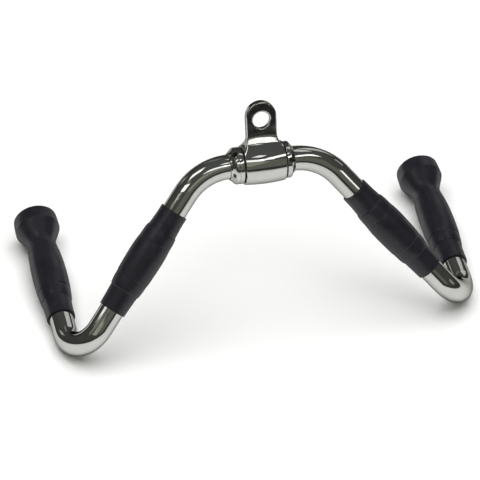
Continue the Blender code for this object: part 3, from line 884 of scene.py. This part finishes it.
def hub():
    """Sleeve and eye in one casting, with normals from its distance field."""
    mesh = hub_voxels()
    p = np.zeros(len(mesh.vertices) * 3)
    mesh.vertices.foreach_get("co", p)
    edges = np.zeros(len(mesh.edges) * 2, int)
    mesh.edges.foreach_get("vertices", edges)
    p = projected(p.reshape(-1, 3), FIRST_ROUNDS)
    p = smoothed(p, edges.reshape(-1, 2))
    normals = unit_rows(hub_gradient(p)) @ np.array(HUB_FRAME.to_3x3()).T
    mesh.vertices.foreach_set("co", p.ravel())
    mesh.materials.clear()
    mesh.materials.append(CHROME_HUB)
    mesh.transform(HUB_FRAME)
    mesh.shade_smooth()
    mesh.normals_split_custom_set_from_vertices(normals.tolist())
    settle("hub_casting", mesh, "hub", "hub_sleeve")


# Camera

def camera():
    """The camera, turned by its azimuth, elevation and roll."""
    data = bpy.data.cameras.new("camera")
    data.lens = CAMERA_LENS
    data.sensor_width = CAMERA_SENSOR
    data.clip_end = CAMERA_CLIP_END
    made = linked("camera", data)
    look = Vector((-math.sin(CAMERA_AZIMUTH) * math.cos(CAMERA_ELEVATION),
                   math.cos(CAMERA_AZIMUTH) * math.cos(CAMERA_ELEVATION),
                   -math.sin(CAMERA_ELEVATION)))
    level = Vector((math.cos(CAMERA_AZIMUTH), math.sin(CAMERA_AZIMUTH), 0.0))
    up = level.cross(look)
    right = math.cos(CAMERA_ROLL) * level + math.sin(CAMERA_ROLL) * up
    turn = Matrix((right, right.cross(look), -look)).transposed().to_4x4()
    made.matrix_world = Matrix.Translation(CAMERA_PLACE) @ turn
    bpy.context.scene.camera = made


# Floor, studio and lamps

def set_stops(ramp, stops):
    """Colours along a ramp node, from (position, colour)."""
    elements = ramp.color_ramp.elements
    for i, (position, colour) in enumerate((stops[0], stops[-1])):
        elements[i].position = position
        elements[i].color = (*colour, 1.0)
    for position, colour in stops[1:-1]:
        elements.new(position).color = (*colour, 1.0)


def floor_paper():
    """Matt paper, pale round the object and darker far away."""
    mat, tree, shader, coords = new_material("floor_paper")
    fill(shader, Roughness=0.9, Specular_IOR_Level=0.1)
    distance = tree.nodes.new("ShaderNodeVectorMath")
    distance.operation = "LENGTH"
    tree.links.new(coords.outputs["Object"], distance.inputs[0])
    share = tree.nodes.new("ShaderNodeMath")
    share.operation = "DIVIDE"
    share.inputs[1].default_value = FLOOR_RADIUS
    tree.links.new(distance.outputs["Value"], share.inputs[0])
    ramp = tree.nodes.new("ShaderNodeValToRGB")
    set_stops(ramp, [(r / FLOOR_RADIUS, (p, p, p)) for r, p in FLOOR_FADE])
    tree.links.new(share.outputs[0], ramp.inputs["Fac"])
    tree.links.new(ramp.outputs["Color"], shader.inputs["Base Color"])
    return mat


def floor():
    """A round floor."""
    verts = [(0.0, 0.0, 0.0)]
    for r in FLOOR_RINGS:
        for i in range(FLOOR_SIDES):
            a = math.tau * i / FLOOR_SIDES
            verts.append((r * math.cos(a), r * math.sin(a), 0.0))
    faces = []
    for i in range(FLOOR_SIDES):
        j = (i + 1) % FLOOR_SIDES
        faces.append((0, 1 + i, 1 + j))
        for k in range(len(FLOOR_RINGS) - 1):
            near = 1 + k * FLOOR_SIDES
            far = near + FLOOR_SIDES
            faces.append((near + i, far + i, far + j, near + j))
    mesh = bpy.data.meshes.new("floor")
    mesh.from_pydata(verts, [], faces)
    mesh.materials.append(floor_paper())
    linked("floor", mesh)


def world():
    """A dim studio, a little paler toward the top."""
    made = bpy.data.worlds.new("studio")
    bpy.context.scene.world = made
    made.use_nodes = True
    tree = made.node_tree
    background = tree.nodes["Background"]
    coords = tree.nodes.new("ShaderNodeTexCoord")
    split = tree.nodes.new("ShaderNodeSeparateXYZ")
    tree.links.new(coords.outputs["Generated"], split.inputs[0])
    ramp = tree.nodes.new("ShaderNodeValToRGB")
    tree.links.new(split.outputs["Z"], ramp.inputs["Fac"])
    set_stops(ramp, SKY_FADE)
    tree.links.new(ramp.outputs["Color"], background.inputs["Color"])
    background.inputs["Strength"].default_value = 1.0


def area_lamp(name, width, height, radiance):
    """A rectangular lamp along local -Z, its brightness the same at any size."""
    data = bpy.data.lights.new(name, "AREA")
    data.shape = "RECTANGLE"
    data.size = width
    data.size_y = height
    data.energy = radiance * math.pi * width * height
    return linked(name, data)


def toward_lamp(azimuth, elevation):
    """Unit vector toward an azimuth (0 is the front, -Y, positive to +X) and elevation."""
    a, e = math.radians(azimuth), math.radians(elevation)
    return Vector((math.sin(a) * math.cos(e), -math.cos(a) * math.cos(e), math.sin(e)))


def wide_as(degrees):
    """The width that covers an angle at the lamps' distance."""
    return 2.0 * LAMP_DISTANCE * math.tan(math.radians(degrees / 2.0))


def studio_lamp(name, azimuth, elevation, width, height, roll, radiance, colour):
    """A lamp or panel that faces the hub, seen in reflections but not by the camera."""
    made = area_lamp(name, wide_as(width), wide_as(height), radiance)
    made.data.color = colour
    made.visible_camera = False
    toward = toward_lamp(azimuth, elevation)
    level = Vector((toward.y, -toward.x, 0.0)).normalized()
    up = toward.cross(level)
    if up.z < 0.0:
        level, up = -level, -up
    angle = math.radians(roll)
    across = math.cos(angle) * level + math.sin(angle) * up
    turn = Matrix((across, toward.cross(across), toward)).transposed().to_4x4()
    made.matrix_world = Matrix.Translation(HUB_POINT + LAMP_DISTANCE * toward) @ turn


def soft_top():
    """A wide lamp straight above that softens the shadows and shows in no reflection."""
    made = area_lamp("soft_top", SOFT_TOP_SIZE, SOFT_TOP_SIZE, SOFT_TOP_RADIANCE)
    made.location = (0.0, 0.0, SOFT_TOP_HEIGHT)
    made.visible_glossy = False


bent_bar()
for side_name in SIDES:
    grip("inner", side_name)
    grip("outer", side_name)
    collar(side_name)
    bush(side_name)
hub()

camera()
floor()
world()
for facts in LAMPS:
    studio_lamp(*facts)
soft_top()
bpy.context.scene.view_settings.view_transform = "Standard"
